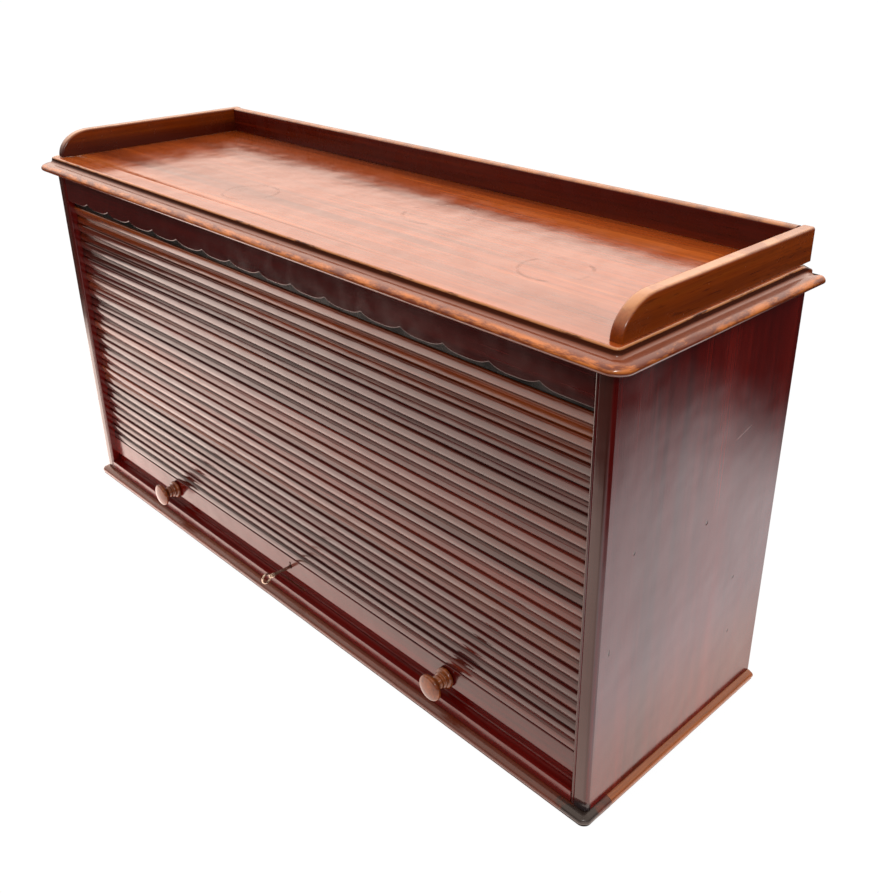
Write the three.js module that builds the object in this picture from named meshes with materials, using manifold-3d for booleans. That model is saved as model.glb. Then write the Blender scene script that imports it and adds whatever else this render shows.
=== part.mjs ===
// A Victorian mahogany table-top cabinet closed by a vertical tambour.
// Millimetres, +Z up, the front faces -Y. Inside the group y = 0 is the plane of the back.
import * as THREE from 'three';
import { mergeVertices } from 'three/addons/utils/BufferGeometryUtils.js';
import Module from 'manifold-3d';

const wasm = await Module();
wasm.setup();

// ---- driving dimensions ----
const GAP = 0.3; // clearance left between touching pieces
const CASE_W = 878; // outside of the two sides
const CASE_D = 266; // front of the stiles to the back
const SIDE_T = 17.5; // thickness of a side
const BASE_H = 9; // height of the base moulding
const BASE_OUT = 8.8; // how far the base projects in front
const BASE_SIDE_OUT = 6.5; // how far it projects at the sides
const TOP_UNDER = 434; // underside of the top board
const TOP_Z = 450; // flat upper surface of the top board
const NOSE_OUT = 16.7; // how far the nose of the top projects
const GALLERY_H = 30;
const GALLERY_T = 12;
const GALLERY_LEFT = -433; // outer face of the left gallery side
const GALLERY_RIGHT = 439.5; // outer face of the right gallery side
const GALLERY_FOOT_Y = -262; // front end of a gallery side
const SILL_TOP = 21.5; // upper face of the bottom board

const PITCH = 22; // one slat and its joint
const SLATS = 15;
const SLAT_FOOT = 58; // lower edge of the lowest slat
const SLAT_FRONT = -257; // plane of the flat lower band of each slat
const SLAT_PROUD = 1.8; // how far the moulded part of a slat stands out from that plane
const SWELL_R = 23; // radius of its long upper curve, which starts upright
const CURL_R = 5; // radius of the short curve that turns in below it
const SLAT_BACK = -249.5; // plane that the canvas is glued to
const STRIP_H = 24; // plain slat that leads the curtain
const RAIL_FRONT = -257.6;
const RAIL_BACK = -244;
const TONGUE_FRONT = -255;
const GROOVE_D = 5; // depth of the tambour groove
const GROOVE_W = 6.3;
const TURN_R = 33; // radius of the groove's bends
const GROOVE_END_Z = 230; // lower end of the groove's rear run

const FRIEZE_FRONT = -265;
const FRIEZE_BACK = -260.4;
const FRIEZE_Z = 396; // lowest point of the scallops
const SCALLOPS = 16;
const CUSP_H = 4.6;

const KNOB_X = 255;
const KNOB_Z = 43;
const KEY_X = -4;
const KEY_Z = 44.5;
const KEY_FRONT = -297; // front of the key's bow, the furthest forward point
const BOW_R = 6.6;

const CEILING_Z = 380; // underside of the false top
const CEILING_T = 6;
const FALSE_BACK_Y = -26;
const FALSE_BACK_T = 6;
const INNER_FRONT = -236; // front edges of the divider and shelves
const SHELF_Z = 200;
const SHELF_T = 9;
const HOUSING_D = 4; // depth of the shelf housings
const DIVIDER_T = 9;
const BACK_T = 8;

const IN_X = CASE_W / 2 - SIDE_T; // inner face of a side
const LEAF_TOP = SLAT_FOOT + PITCH * SLATS; // upper edge of the highest slat
const GROOVE_MID = TONGUE_FRONT + (GROOVE_W - 0.8) / 2;
const REAR_MID = -14; // middle of the groove's rear run

// ---- materials ----
const wood = (color, roughness = 0.3) => new THREE.MeshStandardMaterial({ color, roughness, metalness: 0 });
const metal = (color, roughness = 0.35) => new THREE.MeshStandardMaterial({ color, roughness, metalness: 1 });
const MAHOGANY = wood(0x5a2018);
const TOP_WOOD = wood(0xa5552f);
const EDGE_WOOD = wood(0x8a4a24);
const SLAT_WOOD = wood(0x5e2a1f);
const KNOB_WOOD = wood(0x8c4a2c, 0.25);
const INSIDE_WOOD = wood(0x7a4a2e, 0.55);
const BACK_WOOD = wood(0x8a6238, 0.75);
const CANVAS = wood(0xb5a585, 0.95);
const BRASS = metal(0xb08d4a);
const STEEL = metal(0x9a9894);

// ---- solids ----
function solidOf(geometry) {
  const bare = geometry.clone();
  bare.deleteAttribute('normal');
  bare.deleteAttribute('uv');
  const merged = mergeVertices(bare, 1e-4);
  return new wasm.Manifold(new wasm.Mesh({
    numProp: 3,
    vertProperties: new Float32Array(merged.attributes.position.array),
    triVerts: new Uint32Array(merged.index.array),
  }));
}

function geometryOf(solid) {
  const mesh = solid.getMesh();
  const geometry = new THREE.BufferGeometry();
  const stride = mesh.numProp;
  const points = [];
  for (let i = 0; i < mesh.vertProperties.length; i += stride) {
    points.push(...mesh.vertProperties.slice(i, i + 3));
  }
  geometry.setAttribute('position', new THREE.Float32BufferAttribute(points, 3));
  geometry.setIndex(Array.from(mesh.triVerts));
  geometry.computeVertexNormals();
  return geometry;
}

function cut(geometry, ...cutters) {
  return geometryOf(cutters.reduce((body, cutter) => body.subtract(solidOf(cutter)), solidOf(geometry)));
}

function join(geometry, ...others) {
  return geometryOf(others.reduce((body, other) => body.add(solidOf(other)), solidOf(geometry)));
}

function box(x0, x1, y0, y1, z0, z1) {
  const geometry = new THREE.BoxGeometry(x1 - x0, y1 - y0, z1 - z0);
  return geometry.translate((x0 + x1) / 2, (y0 + y1) / 2, (z0 + z1) / 2);
}

const shapeOf = (points) => new THREE.Shape(points.map(([u, v]) => new THREE.Vector2(u, v)));
const flatExtrude = (points, depth) =>
  new THREE.ExtrudeGeometry(shapeOf(points), { depth, bevelEnabled: false, steps: 1 });

// An outline of [y, z] points, pushed from x0 to x1.
function extrudeX(points, x0, x1) {
  const turn = new THREE.Matrix4().makeBasis(
    new THREE.Vector3(0, 1, 0), new THREE.Vector3(0, 0, 1), new THREE.Vector3(1, 0, 0));
  return flatExtrude(points, x1 - x0).applyMatrix4(turn).translate(x0, 0, 0);
}

// An outline of [x, z] points, pushed from y1 forward to y0.
function extrudeY(points, y0, y1) {
  const turn = new THREE.Matrix4().makeBasis(
    new THREE.Vector3(1, 0, 0), new THREE.Vector3(0, 0, 1), new THREE.Vector3(0, -1, 0));
  return flatExtrude(points, y1 - y0).applyMatrix4(turn).translate(0, y1, 0);
}

// A turned piece: [radius, distance] points, with the distance running forward (-Y) from y0.
function turned(profile, segments, x, y0, z) {
  const points = profile.map(([r, t]) => new THREE.Vector2(r, t));
  const geometry = new THREE.LatheGeometry(points, segments);
  return geometry.rotateX(Math.PI).translate(x, y0, z);
}

// Points of an arc round [u, v] from angle a to angle b, in degrees.
function arc(u, v, r, a, b, steps) {
  return Array.from({ length: steps + 1 }, (_, i) => {
    const t = THREE.MathUtils.degToRad(a + ((b - a) * i) / steps);
    return [u + r * Math.cos(t), v + r * Math.sin(t)];
  });
}

const mirrorX = (points) => points.map(([x, z]) => [-x, z]).reverse();

// ---- the assembly ----
const object = new THREE.Group();
object.position.y = -KEY_FRONT / 2;

function add(name, geometry, material) {
  const mesh = new THREE.Mesh(geometry, material);
  mesh.name = name;
  object.add(mesh);
  return mesh;
}

// ---- sides, with the groove that leads the tambour up, back and down ----
function groovePath() {
  const half = GROOVE_W / 2;
  const frontC = GROOVE_MID + TURN_R;
  const rearC = REAR_MID - TURN_R;
  const bendZ = LEAF_TOP;
  const outer = TURN_R + half;
  const inner = TURN_R - half;
  return [
    [GROOVE_MID + half, SILL_TOP - 2],
    [GROOVE_MID - half, SILL_TOP - 2],
    ...arc(frontC, bendZ, outer, 180, 90, 6),
    ...arc(rearC, bendZ, outer, 90, 0, 6),
    [REAR_MID + half, GROOVE_END_Z],
    [REAR_MID - half, GROOVE_END_Z],
    ...arc(rearC, bendZ, inner, 0, 90, 6),
    ...arc(frontC, bendZ, inner, 90, 180, 6),
  ].reverse();
}

function sideBoard(sign) {
  const outer = CASE_W / 2;
  const bead = 3.2; // width of the bead run along the inner edge
  const round = 4.5;
  const plan = [
    [IN_X, 0],
    [outer, 0],
    ...arc(outer - round, -CASE_D + round, round, 0, -90, 3),
    [IN_X + bead + 0.8, -CASE_D],
    [IN_X + bead + 0.4, -CASE_D + 0.8],
    ...arc(IN_X + bead / 2, -CASE_D + bead / 2, bead / 2, 0, -180, 6),
  ];
  const outline = sign > 0 ? plan : mirrorX(plan);
  const shape = shapeOf(outline.slice().reverse());
  const depth = TOP_UNDER - BASE_H - 2 * GAP;
  const board = new THREE.ExtrudeGeometry(shape, { depth, bevelEnabled: false });
  board.translate(0, 0, BASE_H + GAP);
  const deep = IN_X + GROOVE_D;
  const groove = extrudeX(groovePath(), sign > 0 ? IN_X - 1 : -deep, sign > 0 ? deep : -IN_X + 1);
  const low = SHELF_Z - GAP;
  const high = SHELF_Z + SHELF_T + GAP;
  const housed = IN_X + HOUSING_D;
  const housing = sign > 0
    ? box(IN_X - 1, housed, INNER_FRONT - GAP, FALSE_BACK_Y, low, high)
    : box(-housed, -IN_X + 1, INNER_FRONT - GAP, FALSE_BACK_Y, low, high);
  return cut(board, groove, housing);
}

add('left_side', sideBoard(-1), MAHOGANY);
add('right_side', sideBoard(1), MAHOGANY);

// ---- base mouldings ----
function baseSection(front) {
  return [
    [front + 38, 0],
    [front + 1.2, 0],
    [front, 1.5],
    [front, 4.5],
    [front + 1, 6.8],
    [front + 3, 8.4],
    [front + 5.5, BASE_H],
    [front + 38, BASE_H],
  ].reverse();
}

function baseFront() {
  const reach = CASE_W / 2 + BASE_SIDE_OUT;
  const strip = extrudeX(baseSection(-CASE_D - BASE_OUT), -reach, reach);
  const corner = 6;
  const y = -CASE_D - BASE_OUT;
  const trimmer = (s) => {
    const c = [s * (reach - corner), y + corner];
    const edge = arc(c[0], c[1], corner, s > 0 ? 0 : 180, s > 0 ? -90 : 270, 4);
    const outside = [[reach - corner, y - 5], [reach + 5, y - 5], [reach + 5, y + corner]];
    const outline = [...edge, ...outside.map(([px, py]) => [s * px, py])];
    const shape = shapeOf(s > 0 ? outline : outline.slice().reverse());
    const block = new THREE.ExtrudeGeometry(shape, { depth: BASE_H + 4, bevelEnabled: false });
    return block.translate(0, 0, -2);
  };
  return cut(strip, trimmer(1), trimmer(-1));
}

function baseSide(sign) {
  const section = baseSection(0).map(([u, v]) => [CASE_W / 2 + BASE_SIDE_OUT - u, v]);
  const outline = sign > 0 ? section.reverse() : mirrorX(section.reverse());
  return extrudeY(outline, -CASE_D - BASE_OUT + 38 + GAP, 0);
}

add('base_front_moulding', baseFront(), EDGE_WOOD);
add('base_left_moulding', baseSide(-1), EDGE_WOOD);
add('base_right_moulding', baseSide(1), EDGE_WOOD);

// ---- the back boards' screw places, [x, z] ----
const BACK_BOARDS = 3;
const BACK_SPAN = 2 * (IN_X - GAP);
const BACK_SCREW_Z = 15.5;

function backPlaces() {
  const width = BACK_SPAN / BACK_BOARDS;
  return Array.from({ length: BACK_BOARDS }, (_, k) => [(k + 0.5) * width - BACK_SPAN / 2, BACK_SCREW_Z]);
}

// ---- bottom board, with a pocket and a recess for the lock's keep ----
const KEEP = { x0: KEY_X - 22, x1: KEY_X + 22, y0: -256, y1: -244, t: 1.5 };
const KEEP_MID = (KEEP.y0 + KEEP.y1) / 2;
const KEEP_SCREWS = [-17, 17]; // offsets of the keep's screws from the key
const BOLT_Y0 = -251.6;
const BOLT_Y1 = -248.4;
const BOLT_HALF = 4;
const HOOK_REACH = 9;

function bottomBoard() {
  const slab = box(-IN_X + GAP, IN_X - GAP, -CASE_D, -BACK_T - GAP, BASE_H + GAP, SILL_TOP);
  const recessFoot = SILL_TOP - KEEP.t - GAP;
  const recess = box(
    KEEP.x0 - GAP, KEEP.x1 + GAP, KEEP.y0 - GAP, KEEP.y1 + GAP, recessFoot, SILL_TOP + 1);
  const pocket = box(KEY_X - 7, KEY_X + 18, BOLT_Y0 - 1.4, BOLT_Y1 + 1.4, 12, SILL_TOP);
  const keepHoles = KEEP_SCREWS.map((dx) =>
    box(KEY_X + dx - 1.6, KEY_X + dx + 1.6, KEEP_MID - 1.6, KEEP_MID + 1.6, 13, SILL_TOP));
  const pilots = backPlaces().map(([x, z]) =>
    turned([[0, 0], [1.9, 0], [1.9, 22], [0, 22]], 10, x, -BACK_T + 3, z));
  return cut(slab, recess, pocket, ...keepHoles, ...pilots);
}

function keepPlate() {
  const plate = box(KEEP.x0, KEEP.x1, KEEP.y0, KEEP.y1, SILL_TOP - KEEP.t, SILL_TOP);
  const slot = box(KEY_X - 5, KEY_X + HOOK_REACH + 1.2, BOLT_Y0 - 0.8, BOLT_Y1 + 0.8, 10, 30);
  const holes = KEEP_SCREWS.map((dx) =>
    box(KEY_X + dx - 1.4, KEY_X + dx + 1.4, KEEP_MID - 1.4, KEEP_MID + 1.4, 10, 30));
  return cut(plate, slot, ...holes);
}

function keepScrew(dx) {
  const profile = [[0, 0], [1.1, 0], [1.1, 7], [0, 7]].map(([r, t]) => new THREE.Vector2(r, t));
  return new THREE.LatheGeometry(profile, 8).rotateX(Math.PI / 2)
    .translate(KEY_X + dx, KEEP_MID, SILL_TOP - 7.4);
}

add('bottom_board', bottomBoard(), MAHOGANY);
add('lock_keep', keepPlate(), BRASS);
add('keep_screw_left', keepScrew(KEEP_SCREWS[0]), BRASS);
add('keep_screw_right', keepScrew(KEEP_SCREWS[1]), BRASS);

// ---- top board: outlines at rising offsets, sewn together ----
function topBoard() {
  const levels = [
    [13.8, 434],
    [15.2, 434.3],
    [16.3, 435.2],
    [NOSE_OUT, 436.5],
    [16.2, 438.0],
    [14.8, 439.5],
    [12.2, 440.9],
    [9.2, 441.8],
    [6.4, 442.5],
    [4.6, 443.8],
    [3.9, 445.8],
    [3.7, 448.4],
    [3.2, 449.6],
    [2.4, TOP_Z],
  ];
  const cornerR = 2;
  const steps = 6;
  const outlineAt = ([out, z]) => {
    const x = CASE_W / 2 + out;
    const y = -CASE_D - out;
    const r = Math.max(cornerR + out * 0.85, 1);
    return [
      [-x, 0],
      ...arc(-x + r, y + r, r, 180, 270, steps),
      ...arc(x - r, y + r, r, 270, 360, steps),
      [x, 0],
    ].map(([px, py]) => [px, py, z]);
  };
  const rings = levels.map(outlineAt);
  const count = rings[0].length;
  const index = [];
  rings.slice(1).forEach((_, k) => {
    for (let i = 0; i < count; i += 1) {
      const j = (i + 1) % count;
      const a = k * count + i;
      const b = k * count + j;
      index.push(a, b, b + count, a, b + count, a + count);
    }
  });
  const last = (rings.length - 1) * count;
  for (let i = 1; i < count - 1; i += 1) {
    index.push(0, i + 1, i, last, last + i, last + i + 1);
  }
  const geometry = new THREE.BufferGeometry();
  geometry.setAttribute('position', new THREE.Float32BufferAttribute(rings.flat(2), 3));
  geometry.setIndex(index);
  return geometry;
}

add('top_board', topBoard(), TOP_WOOD);

// ---- gallery ----
function gallerySide(sign) {
  const top = TOP_Z + GALLERY_H;
  const sweepY = 40;
  const foot = GALLERY_FOOT_Y;
  const curve = Array.from({ length: 9 }, (_, i) => {
    const t = (i / 8) * (Math.PI / 2);
    return [foot + sweepY - sweepY * Math.cos(t), TOP_Z + GAP + (GALLERY_H - GAP) * Math.sin(t)];
  });
  const outline = [[0, TOP_Z + GAP], [0, top], ...curve.reverse()].reverse();
  const x0 = sign > 0 ? GALLERY_RIGHT - GALLERY_T : GALLERY_LEFT;
  return extrudeX(outline.reverse(), x0, x0 + GALLERY_T);
}

function galleryBack() {
  const left = GALLERY_LEFT + GALLERY_T + GAP;
  const right = GALLERY_RIGHT - GALLERY_T - GAP;
  return box(left, right, -GALLERY_T, 0, TOP_Z + GAP, TOP_Z + GALLERY_H);
}

add('gallery_left', gallerySide(-1), EDGE_WOOD);
add('gallery_right', gallerySide(1), EDGE_WOOD);
add('gallery_back', galleryBack(), EDGE_WOOD);

// ---- scalloped frieze: rounded lobes that meet in pointed cusps ----
function frieze() {
  const reach = IN_X - GAP;
  const width = (2 * reach) / SCALLOPS;
  const steps = 14;
  const lower = [];
  for (let k = 0; k < SCALLOPS; k += 1) {
    for (let i = 0; i < steps; i += 1) {
      const u = i / steps;
      const near = Math.abs(2 * u - 1);
      const atEnd = (k === 0 && u < 0.5) || (k === SCALLOPS - 1 && u > 0.5);
      const lift = atEnd ? 0 : CUSP_H * Math.pow(near, 3.2);
      lower.push([-reach + (k + u) * width, FRIEZE_Z + lift]);
    }
  }
  lower.push([reach, FRIEZE_Z]);
  const upper = TOP_UNDER - GAP;
  return extrudeY([...lower, [reach, upper], [-reach, upper]], FRIEZE_FRONT, FRIEZE_BACK);
}

add('frieze', frieze(), MAHOGANY);

// ---- tambour: one plain leading slat and the moulded slats, tongued into the grooves ----
const LEAF_X = IN_X - 0.5;
const TONGUE_X = IN_X + GROOVE_D - 0.6;

function tongued(geometry, z0, z1) {
  const tongue = (s) => (s > 0
    ? box(LEAF_X - 2, TONGUE_X, TONGUE_FRONT, SLAT_BACK, z0, z1)
    : box(-TONGUE_X, -LEAF_X + 2, TONGUE_FRONT, SLAT_BACK, z0, z1));
  return join(geometry, tongue(1), tongue(-1));
}

function slat(top) {
  const foot = top - PITCH + GAP;
  const nose = SLAT_FRONT - SLAT_PROUD;
  const swell = arc(nose + SWELL_R, top - 0.8, SWELL_R, 180, 200, 4);
  const [endY, endZ] = swell[swell.length - 1];
  const lean = THREE.MathUtils.degToRad(20);
  const turnY = endY + CURL_R * Math.cos(lean);
  const turnZ = endZ + CURL_R * Math.sin(lean);
  const outline = [
    [SLAT_BACK, foot],
    [SLAT_BACK, top],
    [nose + 0.5, top],
    ...swell,
    ...arc(turnY, turnZ, CURL_R, 200, 242, 4).slice(1),
    [SLAT_FRONT + 2.1, top - 12.2],
    [SLAT_FRONT + 1.2, top - 13.4],
    [SLAT_FRONT, top - 14.2],
    [SLAT_FRONT, foot + 0.5],
    [SLAT_FRONT + 0.5, foot],
  ];
  return tongued(extrudeX(outline, -LEAF_X, LEAF_X), foot, top);
}

function leadingStrip() {
  const foot = LEAF_TOP + GAP;
  return tongued(box(-LEAF_X, LEAF_X, SLAT_FRONT, SLAT_BACK, foot, foot + STRIP_H), foot, foot + 2);
}

for (let k = 1; k <= SLATS; k += 1) {
  const name = `slat_${String(k).padStart(2, '0')}`;
  add(name, slat(LEAF_TOP - PITCH * (k - 1)), SLAT_WOOD);
}
add('slat_leading', leadingStrip(), MAHOGANY);

function canvas() {
  const front = SLAT_BACK + GAP;
  const reach = LEAF_X - 20;
  return box(-reach, reach, front, front + 0.8, SLAT_FOOT + 1, LEAF_TOP + STRIP_H - 2);
}

add('tambour_canvas', canvas(), CANVAS);

// ---- lift rail ----
const RAIL_TOP = SLAT_FOOT - GAP;
const RAIL_FOOT = SILL_TOP + GAP;
const LOCK = { half: 20, y0: -252.4, z1: 54 };
const LOCK_WALL = 1.2;
const PLATE_T = 0.8; // front plate of the lock case
const BIT_SWEEP = 5.6;

function liftRail() {
  const outline = [
    [RAIL_BACK, RAIL_FOOT],
    [RAIL_BACK, RAIL_TOP],
    [RAIL_FRONT + 0.5, RAIL_TOP],
    [RAIL_FRONT, RAIL_TOP - 0.5],
    [RAIL_FRONT, 35],
    [RAIL_FRONT + 0.4, 33.4],
    [RAIL_FRONT + 1.6, 31.6],
    [RAIL_FRONT + 2.8, 29],
    [RAIL_FRONT + 3.1, 26.4],
    [RAIL_FRONT + 2.6, 23.6],
    [RAIL_FRONT + 1.8, RAIL_FOOT],
  ];
  const rail = tongued(extrudeX(outline, -LEAF_X, LEAF_X), RAIL_FOOT, RAIL_TOP);
  const room = LOCK.half + GAP;
  const mortise = box(
    KEY_X - room, KEY_X + room, LOCK.y0 - GAP, RAIL_BACK + 5, RAIL_FOOT - 5, LOCK.z1 + GAP);
  const stepped = [[0, 0], [4.4, 0], [4.4, 7.6], [2.4, 7.6], [2.4, 20], [0, 20]];
  const screwHoles = [-1, 1].map((s) => turned(stepped, 12, s * KNOB_X, RAIL_BACK + 2, KNOB_Z));
  return cut(rail, mortise, keyhole(RAIL_FRONT - 2, LOCK.y0 + 2), ...screwHoles);
}

// A round hole with a slot above it, from y0 back to y1.
function keyhole(y0, y1) {
  const slotTop = KEY_Z + BIT_SWEEP + 1;
  const halfSlot = 1.4;
  const round = arc(KEY_X, KEY_Z, 2.6, 110, 430, 12);
  const slot = [[KEY_X + halfSlot, slotTop], [KEY_X - halfSlot, slotTop]];
  return extrudeY([...round, ...slot], y0, y1);
}

add('lift_rail', liftRail(), MAHOGANY);

// ---- knobs, each drawn on by a screw from behind the rail ----
const KNOB_LENGTH = 26.4;
const KNOB_PROFILE = [
  [9.6, 0],
  [11.0, 1.2],
  [11.2, 3.0],
  [10.2, 4.6],
  [8.2, 5.4],
  [8.8, 6.6],
  [8.3, 7.8],
  [6.8, 8.6],
  [6.5, 10.2],
  [7.3, 11.6],
  [6.4, 12.8],
  [6.0, 14.2],
  [7.2, 16.2],
  [10.2, 18.0],
  [12.9, 19.6],
  [14.0, 21.4],
  [13.6, 23.2],
  [12.4, 24.2],
  [8.0, 25.7],
  [0, KNOB_LENGTH],
];

function knob(x) {
  const drilled = [[0, 12], [1.9, 12], [1.9, 0]];
  return turned([...drilled, ...KNOB_PROFILE], 20, x, RAIL_FRONT - GAP, KNOB_Z);
}

function knobScrew(x) {
  const head = RAIL_BACK + 0.6;
  const profile = [[0, 3], [3.8, 3], [1.5, 5.6], [1.5, 22], [0, 24]];
  return turned(profile, 12, x, head, KNOB_Z);
}

for (const [side, s] of [['left', -1], ['right', 1]]) {
  add(`knob_${side}`, knob(s * KNOB_X), KNOB_WOOD);
  add(`knob_screw_${side}`, knobScrew(s * KNOB_X), STEEL);
}

// ---- lock: case, hooked bolt and key ----
const CASE_Z0 = RAIL_FOOT + 0.2;

function lockCase() {
  const half = LOCK.half - LOCK_WALL;
  const open = RAIL_BACK + 3;
  const shell = box(KEY_X - LOCK.half, KEY_X + LOCK.half, LOCK.y0, RAIL_BACK, CASE_Z0, LOCK.z1);
  const room = box(
    KEY_X - half, KEY_X + half, LOCK.y0 + PLATE_T, open, CASE_Z0 + LOCK_WALL, LOCK.z1 - LOCK_WALL);
  const door = box(
    KEY_X - 5, KEY_X + HOOK_REACH + 1.8, BOLT_Y0 - 0.4, open, CASE_Z0 - 3, CASE_Z0 + 3);
  return cut(shell, room, door, keyhole(LOCK.y0 - 2, LOCK.y0 + 2));
}

function lockBolt() {
  const boltTop = KEY_Z - BIT_SWEEP - 1.6;
  const bar = box(KEY_X - BOLT_HALF, KEY_X + BOLT_HALF, BOLT_Y0 + 0.4, BOLT_Y1, 13.2, boltTop);
  const slide = box(KEY_X - 12, KEY_X + 10, BOLT_Y0 + 0.4, BOLT_Y1, 28, boltTop);
  const hook = box(KEY_X, KEY_X + HOOK_REACH, BOLT_Y0 + 0.4, BOLT_Y1, 13.2, 17.6);
  return join(bar, slide, hook);
}

function key() {
  const tube = 1.25;
  const ring = Array.from({ length: 9 }, (_, i) => {
    const t = (i / 8) * 2 * Math.PI;
    return new THREE.Vector2(BOW_R - tube + tube * Math.cos(t), tube * Math.sin(t));
  });
  const bow = new THREE.LatheGeometry(ring, 24).rotateZ(Math.PI / 2)
    .translate(KEY_X, KEY_FRONT + BOW_R, KEY_Z);
  const neck = KEY_FRONT + 2 * BOW_R - tube;
  const tip = -246.4;
  const shankLength = tip - neck;
  const profile = [[0, 0], [1.9, 0], [1.9, shankLength - 4.2], [2.7, shankLength - 3.6],
    [2.7, shankLength - 2.2], [1.9, shankLength - 1.4], [1.6, shankLength], [0, shankLength]];
  const shank = turned(profile, 12, KEY_X, tip, KEY_Z);
  const bit = box(KEY_X - 1, KEY_X + 1, -250.6, -247.2, KEY_Z, KEY_Z + BIT_SWEEP - 0.4);
  return join(bow, shank, bit);
}

add('lock_case', lockCase(), BRASS);
add('lock_bolt', lockBolt(), STEEL);
add('key', key(), STEEL);

// ---- inside: false top and back that screen the tambour, a divider and two shelves ----
const CEILING_FRONT = -240;
const INSIDE_X = IN_X - GAP;
const INSIDE_FOOT = SILL_TOP + GAP;
const INSIDE_TOP = CEILING_Z - GAP;
const SCREEN_REAR = FALSE_BACK_Y + FALSE_BACK_T;
const DIVIDER_HOUSING = 2.5; // depth of the shelf housings in the divider

function divider() {
  const face = DIVIDER_T / 2;
  const board = box(-face, face, INNER_FRONT, FALSE_BACK_Y - GAP, INSIDE_FOOT, INSIDE_TOP);
  const housing = (x0, x1) =>
    box(x0, x1, INNER_FRONT - 1, FALSE_BACK_Y + 1, SHELF_Z - GAP, SHELF_Z + SHELF_T + GAP);
  const floor = face - DIVIDER_HOUSING;
  return cut(board, housing(floor, face + 1), housing(-face - 1, -floor));
}

function shelf(sign) {
  const inner = DIVIDER_T / 2 - DIVIDER_HOUSING + GAP;
  const outer = IN_X + HOUSING_D - GAP;
  const x = [sign * inner, sign * outer].sort((a, b) => a - b);
  return box(x[0], x[1], INNER_FRONT, FALSE_BACK_Y - GAP, SHELF_Z, SHELF_Z + SHELF_T);
}

add('false_top',
  box(-INSIDE_X, INSIDE_X, CEILING_FRONT, SCREEN_REAR, CEILING_Z, CEILING_Z + CEILING_T), INSIDE_WOOD);
add('false_back',
  box(-INSIDE_X, INSIDE_X, FALSE_BACK_Y, SCREEN_REAR, INSIDE_FOOT, INSIDE_TOP), INSIDE_WOOD);
add('centre_divider', divider(), INSIDE_WOOD);
add('shelf_left', shelf(-1), INSIDE_WOOD);
add('shelf_right', shelf(1), INSIDE_WOOD);

// ---- back boards, each screwed to the back edge of the bottom board ----
function backBoard(k) {
  const width = BACK_SPAN / BACK_BOARDS;
  const x0 = -BACK_SPAN / 2 + k * width;
  const x1 = k === BACK_BOARDS - 1 ? x0 + width : x0 + width - GAP;
  const board = box(x0, x1, -BACK_T, 0, BASE_H + GAP, TOP_UNDER - GAP);
  const [x, z] = backPlaces()[k];
  const countersunk = [[0, 0], [3.8, 0], [3.8, 2.6], [1.9, 5.3], [1.9, 12], [0, 12]];
  return cut(board, turned(countersunk, 10, x, 1, z));
}

function backScrew(k) {
  const [x, z] = backPlaces()[k];
  const profile = [[0, 0.4], [3.4, 0.4], [3.4, 1.4], [1.6, 4], [1.6, 21], [0, 23]];
  return turned(profile, 10, x, 0, z);
}

for (let k = 0; k < BACK_BOARDS; k += 1) {
  add(`back_board_${k + 1}`, backBoard(k), BACK_WOOD);
  add(`back_screw_${k + 1}`, backScrew(k), STEEL);
}

export default object;
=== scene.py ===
"""The looks of a Victorian mahogany table-top cabinet closed by a tambour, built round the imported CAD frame.

Lengths are in metres unless a name ends in _MM or _PX. Angles end in _DEG. The front faces -Y, right is +X.
Colours are linear (red, green, blue).
"""

import math

import bmesh
import bpy
from mathutils import Matrix, Vector, noise


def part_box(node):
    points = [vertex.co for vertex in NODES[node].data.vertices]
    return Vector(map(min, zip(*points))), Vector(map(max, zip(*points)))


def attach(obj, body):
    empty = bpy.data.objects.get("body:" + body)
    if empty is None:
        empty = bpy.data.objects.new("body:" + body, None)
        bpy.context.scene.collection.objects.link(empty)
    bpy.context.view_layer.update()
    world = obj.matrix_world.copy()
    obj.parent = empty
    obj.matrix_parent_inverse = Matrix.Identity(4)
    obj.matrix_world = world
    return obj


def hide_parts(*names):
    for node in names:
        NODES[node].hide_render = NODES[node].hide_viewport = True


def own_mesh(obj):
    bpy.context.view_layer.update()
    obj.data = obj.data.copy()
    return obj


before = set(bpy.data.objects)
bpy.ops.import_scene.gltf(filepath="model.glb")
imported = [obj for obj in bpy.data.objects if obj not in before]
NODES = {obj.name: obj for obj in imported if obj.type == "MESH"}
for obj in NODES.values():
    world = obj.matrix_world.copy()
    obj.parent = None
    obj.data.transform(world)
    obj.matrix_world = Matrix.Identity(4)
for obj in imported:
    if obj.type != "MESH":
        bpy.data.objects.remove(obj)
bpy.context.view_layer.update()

MM = 0.001
WELD = 1e-6  # points nearer than this are merged
SHARP_DEG = 35.0  # creases steeper than this stay hard
ROUNDED_SHARP_DEG = 50.0  # the same for rounded pieces
WHITE = (1.0, 1.0, 1.0)

SIDE_LOW, SIDE_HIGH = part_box("right_side")
FRONT_Y = SIDE_LOW.y  # plane of the stiles
BACK_Y = SIDE_HIGH.y  # plane of the back
INNER_X = SIDE_LOW.x  # inner face of a side
TOP_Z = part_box("top_board")[1].z  # plane of the top surface
BAND_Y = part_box("slat_leading")[0].y  # plane of the flat bands of the slats


# ---------------------------------------------------------------- camera
FRAME_W_PX, FRAME_H_PX = 879, 893
FOCAL_PX = 1001.6
CENTRE_X_PX, CENTRE_Y_PX = 460.0, 399.6  # where the optical axis meets the picture
SENSOR_WIDTH_MM = 36.0
NEAREST = 0.02
EYE = (0.81615, -0.63685, 0.71282)
SIGHT = (-0.6452324, 0.6305241, -0.4314099)
ROLL_DEG = 0.297


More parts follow.
